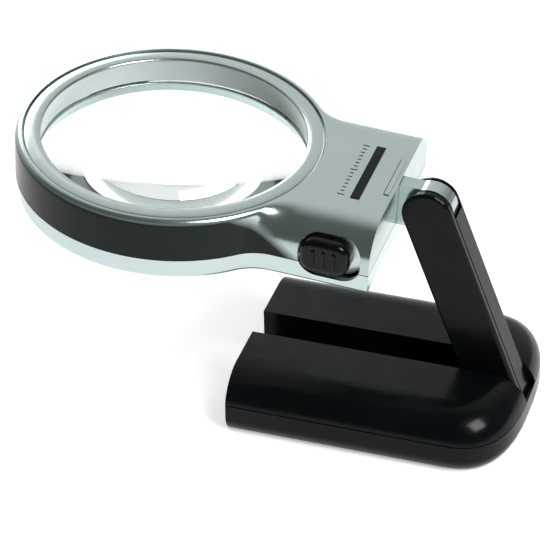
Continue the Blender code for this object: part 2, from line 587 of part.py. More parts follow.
def build_power(frame):
    """Cells, contacts, cradle, board, lamps and the battery door."""
    low = CELL_Y - CELL_LENGTH / 2
    high = CELL_Y + CELL_LENGTH / 2
    for place, x in zip(("outer", "inner"), CELL_X):
        cell = [(0.0, low), (CELL_RADIUS - 0.4, low), (CELL_RADIUS, low + 0.4), (CELL_RADIUS, high - 1.6),
                (CELL_RADIUS - 0.5, high - 1.1), (1.9, high - 1.1), (1.9, high), (0.0, high)]
        add_object(f"battery_{place}", turned(cell, x, CELL_Z, "Y", 16), "cell_wrap", frame)
        tip = low - GAP
        spring = turned([(0.0, tip), (2.2, tip), (4.0, tip - 2.6), (0.0, tip - 2.6)], x, CELL_Z, "Y", 14)
        add_object(f"battery_spring_{place}", spring, "steel", frame)
        plate = box(x - 3.6, x + 3.6, high + GAP, high + GAP + 0.8, CELL_Z - 3.6, CELL_Z + 3.6)
        add_object(f"battery_contact_{place}", plate, "brass", frame)

    left, right = CELL_X[0] - 5.4, CELL_X[1] + 5.4
    near, far = low - 3.2, high + 1.35
    deck = box(left, right, near - 1.4, far + 0.8, 0.5, 1.9)
    cradle = add_object("battery_cradle", deck, "black_plastic", frame)
    ends = box(left, right, near - 1.4, near, -8.6, 1.2)
    box(left, right, far, far + 0.8, -8.6, 1.2, ends)
    boolean(cradle, ends, "UNION")
    add_object("circuit_board", box(*BOARD_X, *BOARD_Y, 2.6, 3.8), "board_green", frame)

    for name, side in (("led_near", -1), ("led_far", 1)):
        x, y = ring_spot(LED_PATH, LED_ANGLE * side)
        lamp = [(0.0, HEAD_BOTTOM + 0.2), (0.8, HEAD_BOTTOM + 0.4), (1.35, HEAD_BOTTOM + 1.0),
                (LED_RADIUS, HEAD_BOTTOM + 1.7), (LED_RADIUS, HEAD_BOTTOM + 4.6), (0.0, HEAD_BOTTOM + 4.6)]
        add_object(name, turned(lamp, x, y, steps=12), "led_clear", frame)

    left, right = DOOR_X
    outline = [(left, -DOOR_HALF), (right, -DOOR_HALF), (right, DOOR_HALF), (left, DOOR_HALF)]
    inner = [(x + (0.5 if x == left else -0.5), y * (1 - 0.5 / DOOR_HALF)) for x, y in outline]
    door = [[(x, y, HEAD_BOTTOM) for x, y in inner], [(x, y, HEAD_BOTTOM + 0.4) for x, y in outline],
            [(x, y, HEAD_BOTTOM + 1.6) for x, y in outline]]
    add_object("battery_door", loft(door), "silver_paint", frame)


def build_switch(frame):
    """Slide switch: body inside the neck, pale surround, and the black knob with its grip ribs."""
    body = box(SWITCH_X - 7.5, SWITCH_X + 7.5, SWITCH_WALL + 1.6, SWITCH_WALL + 5.4, -6.2, 0.0)
    add_object("switch_body", body, "steel", frame)
    outline = rounded_oblong(SWITCH_X, SWITCH_Z, SURROUND_SIZE, SURROUND_CORNER)
    surround = prism(outline, SWITCH_WALL - 1.0, SWITCH_WALL + 1.2, "Y")
    plate = add_object("switch_surround", surround, "pale_plastic", frame)
    boolean(plate, box(SWITCH_X - 5.5, SWITCH_X + 5.5, SWITCH_WALL - 2, SWITCH_WALL + 2,
                       SWITCH_Z - 2.2, SWITCH_Z + 2.2))

    front = SWITCH_WALL - 1.0 - GAP
    sections = []
    for y, inset in ((front, 0.0), (front - 3.6, 0.0), (front - 4.8, 0.5), (front - 5.5, 1.6)):
        outline = rounded_oblong(KNOB_X, SWITCH_Z + 0.3, KNOB_SIZE, KNOB_CORNER, inset)
        sections.append([(x, y, z) for x, z in outline])
    knob = add_object("switch_knob", loft(sections), "black_gloss", frame)
    ribs = bmesh.new()
    for k in (-1, 0, 1):
        x = KNOB_X + 3.4 * k
        box(x - 0.6, x + 0.6, front - 6.2, front - 5.0, SWITCH_Z - 2.6, SWITCH_Z + 3.2, ribs)
    boolean(knob, ribs, "UNION")
    stem = box(KNOB_X - 2.0, KNOB_X + 2.0, front - 0.5, SWITCH_WALL + 1.3, SWITCH_Z - 1.6,
               SWITCH_Z + 1.6)
    boolean(knob, stem, "UNION")


def build_trim(frame):
    """Blank printed bar and the shell screws."""
    bar = box(BAR_X - 1.5, BAR_X + 1.5, *BAR_Y, HEAD_TOP + 0.05, HEAD_TOP + 0.25)
    add_object("label_bar", bar, "ink_black", frame)
    for number, (x, y, _) in enumerate(head_screw_spots(), 1):
        add_object(f"head_screw_{number}", screw(x, y, HEAD_BOTTOM + 0.1, 8.5, 0.85, 1.6), "steel", frame)


def main():
    for obj in list(bpy.data.objects):
        bpy.data.objects.remove(obj, do_unlink=True)

    lean = math.radians(ARM_LEAN)
    knuckle_x = -math.sin(lean) * ARM_LENGTH + math.cos(lean) * HINGE_OFFSET
    knuckle_z = HINGE_HEIGHT + math.cos(lean) * ARM_LENGTH + math.sin(lean) * HINGE_OFFSET
    lower_axis = (0.0, 0.0, HINGE_HEIGHT)
    upper_axis = (knuckle_x, 0.0, knuckle_z)

    build_base()
    build_lower_pin(add_frame("lower_pin_frame", lower_axis))
    build_arm(add_frame("arm_frame", lower_axis, -ARM_LEAN))
    build_upper_pin(add_frame("upper_pin_frame", upper_axis, HEAD_TILT))
    head = add_frame("head_frame", upper_axis, HEAD_TILT)
    build_shells(head)
    build_lens(head)
    build_lug(head)
    build_power(head)
    build_switch(head)
    build_trim(head)


main()
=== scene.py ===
"""Looks of the folding magnifier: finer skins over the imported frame, materials, light and camera."""

import json
import math

import bmesh
import bpy
from mathutils import Matrix, Vector


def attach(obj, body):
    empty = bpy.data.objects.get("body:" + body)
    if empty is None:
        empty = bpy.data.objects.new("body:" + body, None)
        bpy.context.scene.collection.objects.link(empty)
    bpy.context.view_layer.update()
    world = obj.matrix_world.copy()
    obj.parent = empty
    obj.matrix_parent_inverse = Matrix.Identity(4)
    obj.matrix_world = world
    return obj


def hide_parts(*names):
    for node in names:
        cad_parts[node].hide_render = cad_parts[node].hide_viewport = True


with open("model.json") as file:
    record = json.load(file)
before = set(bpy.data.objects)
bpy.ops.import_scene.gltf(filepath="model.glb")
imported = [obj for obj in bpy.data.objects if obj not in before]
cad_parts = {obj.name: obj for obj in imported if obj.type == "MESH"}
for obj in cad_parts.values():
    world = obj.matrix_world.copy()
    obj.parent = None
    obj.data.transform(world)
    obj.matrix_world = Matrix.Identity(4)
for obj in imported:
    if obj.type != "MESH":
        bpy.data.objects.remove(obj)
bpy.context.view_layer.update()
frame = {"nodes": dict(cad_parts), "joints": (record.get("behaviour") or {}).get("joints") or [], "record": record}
record = frame["record"]
joint_spot = {j["name"]: Vector(j["pos_m"]) for j in frame["joints"] if j.get("pos_m")}

MM = 0.001
GAP = 0.3                     # running gap between neighbouring pieces, mm
WALL, ROOF = 1.8, 1.9         # thickness of the casings, mm
HEAD_TILT = 3.9
HEAD_TO_ROW = Matrix.Translation(joint_spot["head_tilt"]) @ Matrix.Rotation(math.radians(HEAD_TILT), 4, "Y")

# ---- base, mm ----
BASE_FRONT, BASE_REAR, BASE_HALF_WIDTH, BASE_HEIGHT = 81.7, 13.9, 36.0, 20.0
BASE_FLAT_HALF, BASE_ROLL_DROP, BASE_SEAM, BASE_FOOT_INSET = 22.6, 11.6, 10.4, 2.3
BASE_END_START, BASE_END_POWER = -10.0, 2.9
SLOT_HALF, FLOOR, SILL_INNER = 6.0, 1.5, 12.75
BASE_SCREWS = [(-70.0, 20.0), (-4.0, 20.0)]
BASE_PADS = [(-74.0, 26.0), (3.0, 24.0)]
SCREW_HOLE, PAD_HOLE = 2.6, 4.3

# ---- head, mm, from the upper pin ----
RING_REACH, RING_RADIUS = 87.7, 52.0
HEAD_TOP, HEAD_BOTTOM, HEAD_SEAM = 8.4, -13.5, -6.5
NECK_END, NECK_HALF_WIDTH, NECK_FLAT_HALF, NECK_ROLL_DROP, NECK_FILLET = 10.5, 34.5, 22.0, 11.5, 15.0
BEZEL_OUTER, BEZEL_INNER, BEZEL_DEPTH, BEZEL_SKIRT = 49.4, 43.7, 1.6, 46.0
LENS_RADIUS, LENS_CURVE, LENS_EDGE, LENS_TOP = 45.3, 175.0, 3.0, -1.2
DOOR_X, DOOR_HALF = (-36.0, -13.2), 27.0
SWITCH_X, SWITCH_Z, SWITCH_WALL = -23.6, -3.2, -29.3
KNOB_X = SWITCH_X - 1.5
SURROUND_SIZE, SURROUND_CORNER = (20.0, 14.6), 6.2
KNOB_SIZE, KNOB_CORNER = (16.4, 12.2), 4.6
LED_PATH, LED_ANGLE, HEAD_SCREW_PATH = 47.9, 62.0, 47.9
RIB_X, RIB_Y = -12.6, (-10.0, 11.0)
TICK_X, TICK_START, TICK_STEP, TICK_COUNT = -26.4, -14.7, 2.1, 15

# ---- shared finishes ----
SILVER = (0.43, 0.52, 0.52)
SILVER_METAL = 0.92


# ---------------------------------------------------------------- node helpers

class Graph:
    """Small helper round one material's node tree."""

    def __init__(self, name):
        self.mat = bpy.data.materials.new(name)
        self.mat.use_nodes = True
        self.tree = self.mat.node_tree
        self.shader = self.tree.nodes["Principled BSDF"]
        coord = self.tree.nodes.new("ShaderNodeTexCoord")
        self.place = coord.outputs["Object"]

    def node(self, kind, **values):
        made = self.tree.nodes.new(kind)
        for key, value in values.items():
            setattr(made, key, value)
        return made

    def link(self, a, b):
        self.tree.links.new(a, b)

    def noise(self, size, detail=3.0, stretch=None):
        """Noise with features about size metres across."""
        source = self.place
        if stretch:
            scale = self.node("ShaderNodeMapping")
            scale.inputs["Scale"].default_value = stretch
            self.link(source, scale.inputs["Vector"])
            source = scale.outputs["Vector"]
        made = self.node("ShaderNodeTexNoise")
        made.inputs["Scale"].default_value = 1.0 / size
        made.inputs["Detail"].default_value = detail
        made.inputs["Roughness"].default_value = 0.55
        self.link(source, made.inputs["Vector"])
        return made.outputs["Fac"]

    def remap(self, value, low, high, to_low, to_high):
        made = self.node("ShaderNodeMapRange")
        for key, number in (("From Min", low), ("From Max", high), ("To Min", to_low), ("To Max", to_high)):
            made.inputs[key].default_value = number
        self.link(value, made.inputs["Value"])
        return made.outputs["Result"]

    def maths(self, operation, a, b=None):
        made = self.node("ShaderNodeMath", operation=operation)
        for socket, value in zip(made.inputs, (a, b)):
            if value is None:
                continue
            if isinstance(value, (int, float)):
                socket.default_value = value
            else:
                self.link(value, socket)
        return made.outputs["Value"]

    def mix(self, factor, a, b):
        """Mix of two colours; each is a tuple or a socket."""
        made = self.node("ShaderNodeMix", data_type="RGBA")
        for key, value in ((6, a), (7, b)):
            if isinstance(value, tuple):
                made.inputs[key].default_value = (*value, 1.0)
            else:
                self.link(value, made.inputs[key])
        self.link(factor, made.inputs[0])
        return made.outputs[2]

    def bump(self, height, strength, distance):
        made = self.node("ShaderNodeBump")
        made.inputs["Strength"].default_value = strength
        made.inputs["Distance"].default_value = distance
        self.link(height, made.inputs["Height"])
        self.link(made.outputs["Normal"], self.shader.inputs["Normal"])

    def put(self, key, value):
        if isinstance(value, (int, float, tuple)):
            self.shader.inputs[key].default_value = value
        else:
            self.link(value, self.shader.inputs[key])


def shade(colour, factor):
    return tuple(min(1.0, c * factor) for c in colour)


def surface(name, colour, rough, metallic=0.0, specular=0.5, grain=0.0006, relief=0.00001, mottled=0.08,
            spread=0.05, coat=0.0, stretch=None):
    """A moulded, painted or plated finish: mottled colour, handled gloss and a fine grain."""
    g = Graph(name)
    wide = g.noise(0.018, 4.0)
    patches = g.remap(wide, 0.3, 0.7, 0.0, 1.0)
    g.put("Base Color", g.mix(patches, shade(colour, 1 - mottled), shade(colour, 1 + mottled)))
    handled = g.noise(0.007, 5.0)
    fine = g.noise(grain, 2.0, stretch)
    gloss = g.maths("ADD", g.remap(handled, 0.35, 0.7, rough - spread, rough + spread),
                    g.remap(fine, 0.3, 0.7, -0.25 * spread, 0.25 * spread))
    g.put("Roughness", gloss)
    g.put("Metallic", metallic)
    g.put("Specular IOR Level", specular)
    g.put("Coat Weight", coat)
    g.put("Coat Roughness", 0.06)
    g.bump(fine, 0.35, relief)
    return g


def head_place(g):
    """Object coordinates turned into the head's own frame."""
    made = g.node("ShaderNodeMapping", vector_type="TEXTURE")
    made.inputs["Location"].default_value = joint_spot["head_tilt"]
    made.inputs["Rotation"].default_value = (0.0, math.radians(HEAD_TILT), 0.0)
    g.link(g.place, made.inputs["Vector"])
    split = g.node("ShaderNodeSeparateXYZ")
    g.link(made.outputs["Vector"], split.inputs["Vector"])
    return split.outputs


def silver_with_painted_light(name):
    """Silver paint, with painted light: the ring's upright outer wall is painted near-black as a painted dark
    reflection that fades out at the neck, the lower shell is painted paler as a painted reflection of the floor,
    and a painted shadow line runs beside the rib.
    """
    g = surface(name, SILVER, 0.21, metallic=SILVER_METAL, mottled=0.012, spread=0.02, grain=0.0003,
                relief=0.000002, coat=0.15)
    x, y, z = head_place(g)
    along = g.maths("ADD", x, RING_REACH * MM)
    reach = g.maths("SQRT", g.maths("ADD", g.maths("MULTIPLY", along, along), g.maths("MULTIPLY", y, y)))
    # Painted reflection: on the ring's outer wall, between the seam and the rounded top edge, the colour is painted
    # near-black and less glossy. It stands in for a dark surrounding mirrored in the silver, and fades out toward
    # the neck along a slanted line.
    wall = g.remap(reach, 0.0498, 0.0504, 0.0, 1.0)
    below = g.remap(z, 0.0067, 0.0076, 1.0, 0.0)
    above = g.remap(z, -0.0066, -0.0064, 0.0, 1.0)
    shifted = g.maths("ADD", x, g.maths("MULTIPLY", z, 1.35))
    away = g.remap(shifted, -0.0465, -0.0405, 1.0, 0.0)
    wall = g.maths("MULTIPLY", wall, above)
    dark_reflection_mask = g.maths("MULTIPLY", g.maths("MULTIPLY", wall, below), away)
    # Painted reflection: below the seam the lower shell is painted paler silver. This stands in for the bright
    # floor mirrored in it.
    lower_shell_painted_reflection = g.remap(z, -0.0064, -0.0067, 0.0, 1.0)
    paint = g.mix(lower_shell_painted_reflection, g.shader.inputs["Base Color"].links[0].from_socket, (0.52, 0.62, 0.62))
    # Painted shadow: a thin dark line just outside the rib, on its ring side. It stands in for the shade at the
    # foot of the raised rib.
    rib_shadow_across = g.maths("MULTIPLY", g.remap(x, -0.01385, -0.0137, 0.0, 1.0), g.remap(x, -0.0134, -0.0133, 1.0, 0.0))
    rib_shadow_along = g.remap(g.maths("ABSOLUTE", g.maths("SUBTRACT", y, 0.0005)), 0.0102, 0.0108, 1.0, 0.0)
    paint = g.mix(g.maths("MULTIPLY", rib_shadow_across, rib_shadow_along), paint, (0.10, 0.13, 0.13))
    # Mix in the painted dark reflection on the ring's outer wall.
    g.put("Base Color", g.mix(dark_reflection_mask, paint, (0.006, 0.011, 0.011)))
    g.put("Metallic", g.remap(dark_reflection_mask, 0.0, 1.0, SILVER_METAL, 0.0))
    g.put("Coat Weight", g.remap(dark_reflection_mask, 0.0, 1.0, 0.15, 0.0))
    g.put("Specular IOR Level", g.remap(dark_reflection_mask, 0.0, 1.0, 0.5, 0.17))
    return g.mat


def silver_bezel(name):
    """Bright paint on the bezel's rim, turning paler and less mirror-like down its inner wall; the paler colour
    there is a painted reflection of the bright lens and floor.
    """
    g = surface(name, (0.46, 0.53, 0.53), 0.2, mottled=0.01, spread=0.02, grain=0.0003, relief=0.000002, coat=0.1)
    z = head_place(g)["Z"]
    # Painted reflection: below the rim the inner wall is painted pale. This stands in for the light it mirrors from
    # the lens and floor.
    wall = g.remap(z, 0.0072, 0.0079, 1.0, 0.0)
    rim = g.shader.inputs["Base Color"].links[0].from_socket
    g.put("Base Color", g.mix(wall, rim, (0.70, 0.78, 0.78)))
    g.put("Metallic", g.remap(wall, 0.0, 1.0, SILVER_METAL, 0.15))
    return g.mat


def steel(name):
    g = surface(name, (0.56, 0.56, 0.55), 0.3, metallic=1.0, mottled=0.06, spread=0.08, grain=0.0004,
                relief=0.000004, stretch=(1.0, 12.0, 1.0))
    return g.mat


def lens_clear(name):
    g = Graph(name)
    smear = g.noise(0.02, 3.0)
    g.put("Roughness", g.remap(smear, 0.45, 0.75, 0.0, 0.02))
    g.put("Base Color", g.mix(g.remap(smear, 0.3, 0.7, 0.0, 1.0), (0.93, 0.985, 0.98), (0.96, 0.995, 0.99)))
    g.put("Transmission Weight", 1.0)
    g.put("IOR", 1.49)
    g.bump(g.noise(0.03, 1.0), 0.04, 0.00002)
    path = g.node("ShaderNodeLightPath")
    clear = g.node("ShaderNodeBsdfTransparent")
    clear.inputs["Color"].default_value = (0.93, 0.95, 0.95, 1.0)
    both = g.node("ShaderNodeMixShader")
    g.link(path.outputs["Is Shadow Ray"], both.inputs[0])
    g.link(g.shader.outputs["BSDF"], both.inputs[1])
    g.link(clear.outputs["BSDF"], both.inputs[2])
    g.link(both.outputs["Shader"], g.tree.nodes["Material Output"].inputs["Surface"])
    return g.mat


def cell_wrap(name):
    g = surface(name, (0.03, 0.09, 0.25), 0.3, metallic=0.3, mottled=0.05)
    split = g.node("ShaderNodeSeparateXYZ")
    g.link(g.place, split.inputs["Vector"])
    bands = g.maths("SINE", g.maths("MULTIPLY", split.outputs["Y"], 900.0))
    old = g.shader.inputs["Base Color"].links[0].from_socket
    g.put("Base Color", g.mix(g.remap(bands, 0.85, 0.95, 0.0, 1.0), old, (0.5, 0.52, 0.55)))
    return g.mat


def board_green(name):
    g = surface(name, (0.015, 0.12, 0.05), 0.35, mottled=0.15)
    tracks = g.noise(0.0015, 0.0, (1.0, 0.15, 1.0))
    old = g.shader.inputs["Base Color"].links[0].from_socket
    g.put("Base Color", g.mix(g.remap(tracks, 0.55, 0.57, 0.0, 1.0), old, (0.03, 0.22, 0.09)))
    return g.mat


MATERIALS = {
    "silver_paint": silver_with_painted_light("silver_paint_finish"),
    "silver_inner": silver_bezel("silver_inner_finish"),
    "black_plastic": surface("black_plastic_finish", (0.0024, 0.0038, 0.0046), 0.22, specular=0.14, mottled=0.2,
                             spread=0.05, grain=0.00035, relief=0.00001).mat,
    "black_gloss": surface("black_gloss_finish", (0.003, 0.0035, 0.004), 0.18, specular=0.2, mottled=0.2,
                           spread=0.04, grain=0.0004, relief=0.000004).mat,
    "pale_plastic": surface("pale_plastic_finish", (0.80, 0.88, 0.88), 0.3, metallic=0.6, mottled=0.04, spread=0.05,
                            grain=0.0004).mat,
    "lens_acrylic": lens_clear("lens_acrylic_clear"),
    "rubber": surface("rubber_finish", (0.02, 0.02, 0.02), 0.8, mottled=0.25, spread=0.08, grain=0.0005,
                      relief=0.00004).mat,
    "steel": steel("steel_finish"),
    "brass": surface("brass_finish", (0.62, 0.44, 0.16), 0.3, metallic=1.0, mottled=0.12, spread=0.08).mat,
    "cell_wrap": cell_wrap("cell_wrap_finish"),
    "board_green": board_green("board_green_finish"),
    "led_clear": surface("led_clear_finish", (0.85, 0.87, 0.9), 0.12, mottled=0.02, spread=0.03).mat,
    "ink_black": surface("ink_black_finish", (0.004, 0.0045, 0.005), 0.5, specular=0.1, mottled=0.3, spread=0.06,
                         grain=0.0003, relief=0.000006).mat,
}
SLOT_OF = {part["node"]: part["material_slot"] for part in record["subparts"]}
for node_name, node in frame["nodes"].items():
    node.data.materials.clear()
    node.data.materials.append(MATERIALS[SLOT_OF[node_name]])


# ---------------------------------------------------------------- mesh helpers, in millimetres

CUT, JOIN = "DIFFERENCE", "UNION"


def arc(cx, cy, radius, start, end, steps):
    points = []
    for i in range(steps + 1):
        a = math.radians(start + (end - start) * i / steps)
        points.append((cx + radius * math.cos(a), cy + radius * math.sin(a)))
    return points


def loft(sections, bm=None):
    """Skin a stack of closed loops with equal point counts, and cap both ends."""
    bm = bm or bmesh.new()
    loops = [[bm.verts.new(p) for p in section] for section in sections]
    count = len(loops[0])
    for low, high in zip(loops, loops[1:]):
        for i in range(count):
            j = (i + 1) % count
            bm.faces.new((low[i], low[j], high[j], high[i]))
    bm.faces.new(loops[0])
    bm.faces.new(loops[-1])
    return bm


def prism(outline, low, high, axis="Z", bm=None):
    if axis == "Z":
        sections = [[(x, y, level) for x, y in outline] for level in (low, high)]
    else:
        sections = [[(x, level, z) for x, z in outline] for level in (low, high)]
    return loft(sections, bm)


def box(x0, x1, y0, y1, z0, z1, bm=None):
    return prism([(x0, y0), (x1, y0), (x1, y1), (x0, y1)], z0, z1, bm=bm)


def disc(x, y, radius, low, high, steps=32, bm=None):
    first = 90.0 / steps
    return prism(arc(x, y, radius, first, first + 360 - 360 / steps, steps - 1), low, high, bm=bm)


def turned(profile, cx=0.0, steps=160, phase=0.0):
    """Revolve a closed profile of (radius, level) points about a vertical axis."""
    bm = bmesh.new()
    rings = []
    for radius, level in profile:
        ring = []
        for k in range(steps if radius > 0 else 1):
            a = 2 * math.pi * (k + phase) / steps
            ring.append(bm.verts.new((cx + radius * math.cos(a), radius * math.sin(a), level)))
        rings.append(ring)
    for ring, following in zip(rings, rings[1:] + rings[:1]):
        for k in range(steps):
            n = (k + 1) % steps
            if len(ring) > 1 and len(following) > 1:
                bm.faces.new((ring[k], ring[n], following[n], following[k]))
            elif len(ring) > 1:
                bm.faces.new((ring[k], ring[n], following[0]))
            elif len(following) > 1:
                bm.faces.new((ring[0], following[n], following[k]))
    return bm


def mesh_object(name, bm, to_row):
    bmesh.ops.recalc_face_normals(bm, faces=bm.faces)
    mesh = bpy.data.meshes.new(name)
    bm.to_mesh(mesh)
    bm.free()
    mesh.transform(to_row @ Matrix.Scale(MM, 4))
    obj = bpy.data.objects.new(name, mesh)
    bpy.context.collection.objects.link(obj)
    return obj


def skin(name, bm, slot, body, nodes, steps=(), to_row=Matrix.Identity(4), edge=0.0, smooth=32.0):
    """A finished piece: shape, cuts and joins in order, softened edges, finish, body, CAD nodes it replaces."""
    obj = mesh_object(name, bm, to_row)
    tools = []
    for operation, shape in steps:
        tool = mesh_object(f"{name}_tool", shape, to_row)
        modifier = obj.modifiers.new("shape", "BOOLEAN")
        modifier.operation = operation
        modifier.object = tool
        modifier.solver = "EXACT"
        tools.append(tool)
    if edge:
        bevel = obj.modifiers.new("edge", "BEVEL")
        bevel.width = edge * MM
        bevel.segments = 2
        bevel.limit_method = "ANGLE"
        bevel.angle_limit = math.radians(40)
        bevel.use_clamp_overlap = True
    depsgraph = bpy.context.evaluated_depsgraph_get()
    final = bpy.data.meshes.new_from_object(obj.evaluated_get(depsgraph))
    obj.modifiers.clear()
    obj.data = final
    for tool in tools:
        bpy.data.objects.remove(tool, do_unlink=True)
    final.materials.clear()
    final.materials.append(MATERIALS[slot])
    final.shade_smooth()
    final.set_sharp_from_angle(angle=math.radians(smooth))
    weighted = obj.modifiers.new("normals", "WEIGHTED_NORMAL")
    weighted.keep_sharp = True
    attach(obj, body)
    if nodes:
        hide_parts(*nodes)
    return obj


def roll(drop, height, run):
    rise = max(0.0, min(1.0, 1.0 - drop / height))
    return run * (1.0 - math.sqrt(max(0.0, 1.0 - rise * rise)))


def crowd(low, high, steps):
    return [low + (high - low) * math.sin(math.pi / 2 * i / steps) for i in range(steps + 1)]


# ---------------------------------------------------------------- base skins

def base_outline(inset, front=-BASE_FRONT, steps=40):
    half = BASE_HALF_WIDTH - inset
    rear = BASE_REAR - inset * 0.9
    side = []
    for i in range(steps + 1):
        t = math.pi / 2 * i / steps
        x = BASE_END_START + (rear - BASE_END_START) * math.sin(t) ** (2 / BASE_END_POWER)
        y = half * math.cos(t) ** (2 / BASE_END_POWER) if i < steps else 0.0
        side.append((x, y))
    near = [(front, -half)] + [(x, -y) for x, y in side]
    far = [(x, y) for x, y in side[-2::-1]] + [(front, half)]
    return near + far


def base_inset(z):
    if z >= BASE_HEIGHT - BASE_ROLL_DROP:
        return roll(BASE_HEIGHT - z, BASE_ROLL_DROP, BASE_HALF_WIDTH - BASE_FLAT_HALF)
    if z >= 5.0:
        return 0.0
    return BASE_FOOT_INSET * ((5.0 - z) / 5.0) ** 2


def base_solid(levels):
    return loft([[(x, y, z) for x, y in base_outline(base_inset(z))] for z in levels])


holes = bmesh.new()
for side in (1, -1):
    for x, y in BASE_SCREWS:
        disc(x, y * side, SCREW_HOLE, -1.0, 1.1, bm=holes)
    for x, y in BASE_PADS:
        disc(x, y * side, PAD_HOLE, -1.0, 1.2, bm=holes)
tray = base_solid([0.0, 0.15, 0.4, 0.8, 1.4, 2.2, 3.2, 4.2, 5.0, BASE_SEAM - GAP / 2])
slot = box(-BASE_FRONT - 1, SILL_INNER, -SLOT_HALF, SLOT_HALF, FLOOR, BASE_SEAM + 1)
skin("base_tray_skin", tray, "black_plastic", "base", ["base_tray"], [(CUT, slot), (CUT, holes)], edge=0.3)
for word, side in (("near", -1), ("far", 1)):
    away = sorted((side * SLOT_HALF, -side * (BASE_HALF_WIDTH + 2)))
    cover = base_solid(crowd(BASE_SEAM + GAP / 2, BASE_HEIGHT, 18))
    other_side = box(-BASE_FRONT - 2, BASE_REAR + 2, *away, -1.0, BASE_HEIGHT + 2)
    skin(f"base_cover_{word}_skin", cover, "black_plastic", "base", [f"base_cover_{word}"],
         [(CUT, other_side)], edge=0.35)


# ---------------------------------------------------------------- head skins

def head_outline(ring_inset, neck_inset, end_inset=0.0, ring_steps=150, fillet_steps=16):
    radius = RING_RADIUS - ring_inset
    half = NECK_HALF_WIDTH - neck_inset
    fillet = NECK_FILLET + ring_inset
    centre_y = half + fillet
    centre_x = math.sqrt(max(0.0, (radius + fillet) ** 2 - centre_y ** 2))
    touch = math.degrees(math.atan2(centre_y, centre_x))
    ring = arc(0.0, 0.0, radius, touch, 360 - touch, ring_steps)
    near_fillet = arc(centre_x, -centre_y, fillet, 180 - touch, 90, fillet_steps)
    far_fillet = arc(centre_x, centre_y, fillet, 270, 180 + touch, fillet_steps)
    end = RING_REACH - NECK_END - end_inset
    points = ring[1:-1] + near_fillet + [(end, -half), (end, half)] + far_fillet
    return [(x - RING_REACH, y) for x, y in points]


def head_insets(z):
    drop = HEAD_TOP - z
    if z >= HEAD_SEAM:
        return (roll(drop, 2.6, 2.2), roll(drop, NECK_ROLL_DROP, NECK_HALF_WIDTH - NECK_FLAT_HALF))
    depth = (HEAD_SEAM - z) / (HEAD_SEAM - HEAD_BOTTOM)
    draw = 0.7 * depth + 0.5 * max(0.0, depth - 0.85) / 0.15
    return draw, draw


def head_solid(levels, wall=0.0, roof=0.0):
    sections = []
    for z in levels:
        ring, neck = head_insets(z + roof)
        sections.append([(x, y, z) for x, y in head_outline(ring + wall, neck + wall, wall)])
    return loft(sections)


def ring_spot(radius, angle):
    a = math.radians(angle)
    return radius * math.cos(a) - RING_REACH, radius * math.sin(a)


def rounded_oblong(cx, cz, size, corner, inset=0.0, steps=16):
    """A rectangle with rounded corners in the XZ plane, drawn in by an inset."""
    points = []
    for sx, sz, start in ((1, 1, 0), (-1, 1, 90), (-1, -1, 180), (1, -1, 270)):
        points += arc(cx + sx * (size[0] / 2 - corner), cz + sz * (size[1] / 2 - corner), corner - inset,
                      start, start + 90, steps)
    return points


def switch_recess():
    outline = rounded_oblong(SWITCH_X, SWITCH_Z, SURROUND_SIZE, SURROUND_CORNER, -GAP)
    return prism(outline, -NECK_HALF_WIDTH - 2, SWITCH_WALL + 1.5, "Y")


def lug_hole():
    """The opening in the neck's flat end that the knuckle comes out of."""
    return box(-NECK_END - WALL - 0.1, -NECK_END + 2, -2.2, 4.0, -7.9, 7.9)


ledge = HEAD_TOP - BEZEL_DEPTH
skirt = BEZEL_SKIRT + GAP
seat = [(skirt, ledge), (BEZEL_OUTER + GAP, ledge), (BEZEL_OUTER + GAP, HEAD_TOP + 2), (0.0, HEAD_TOP + 2),
        (0.0, HEAD_SEAM - 2), (skirt, HEAD_SEAM - 2)]
upper_levels = [HEAD_SEAM + GAP / 2, -5.0] + crowd(-3.1, HEAD_TOP, 22)
upper_hollow = head_solid([HEAD_SEAM - 1.0] + crowd(-4.5, ledge - ROOF, 6), WALL, ROOF)
rib = box(RIB_X - 0.8, RIB_X + 0.8, *RIB_Y, HEAD_TOP - 0.5, HEAD_TOP + 0.35)
skin("head_upper_skin", head_solid(upper_levels), "silver_paint", "head", ["head_upper_shell"],
     [(CUT, upper_hollow), (CUT, turned(seat, -RING_REACH, phase=0.5)), (CUT, switch_recess()),
      (CUT, lug_hole()), (JOIN, rib)],
     HEAD_TO_ROW, edge=0.2)

guard_top = LENS_TOP - LENS_EDGE - 0.8
guard = [(42.5, HEAD_BOTTOM + 0.6), (BEZEL_SKIRT, HEAD_BOTTOM + 0.6), (BEZEL_SKIRT, guard_top), (42.5, guard_top)]
mouth = [(0.0, HEAD_BOTTOM - 2), (44.6, HEAD_BOTTOM - 2), (44.0, HEAD_BOTTOM + 1.0), (44.0, LENS_TOP),
         (0.0, LENS_TOP)]
below = bmesh.new()
for angle in (LED_ANGLE, -LED_ANGLE):
    disc(*ring_spot(LED_PATH, angle), 1.8, HEAD_BOTTOM - 1, HEAD_BOTTOM + 4, bm=below)
for x, y in [ring_spot(HEAD_SCREW_PATH, angle) for angle in (105.0, 180.0, 255.0)] + [(-14.5, 30.2)]:
    disc(x, y, 1.9, HEAD_BOTTOM - 1, HEAD_BOTTOM + 0.9, bm=below)
door_hole = box(DOOR_X[0] - GAP, DOOR_X[1] + GAP, -DOOR_HALF - GAP, DOOR_HALF + GAP,
                HEAD_BOTTOM - 1, HEAD_BOTTOM + 3)
lower = head_solid([HEAD_BOTTOM, HEAD_BOTTOM + 0.5, HEAD_BOTTOM + 1.05, -11.0, -9.0, HEAD_SEAM - GAP / 2])
lower_hollow = head_solid([HEAD_BOTTOM + WALL, -9.0, HEAD_SEAM + 1.0], WALL)
skin("head_lower_skin", lower, "silver_paint", "head", ["head_lower_shell"],
     [(CUT, lower_hollow), (JOIN, turned(guard, -RING_REACH)),
      (CUT, turned(mouth, -RING_REACH, phase=0.5)), (CUT, switch_recess()), (CUT, lug_hole()), (CUT, door_hole),
      (CUT, below)], HEAD_TO_ROW, edge=0.2)

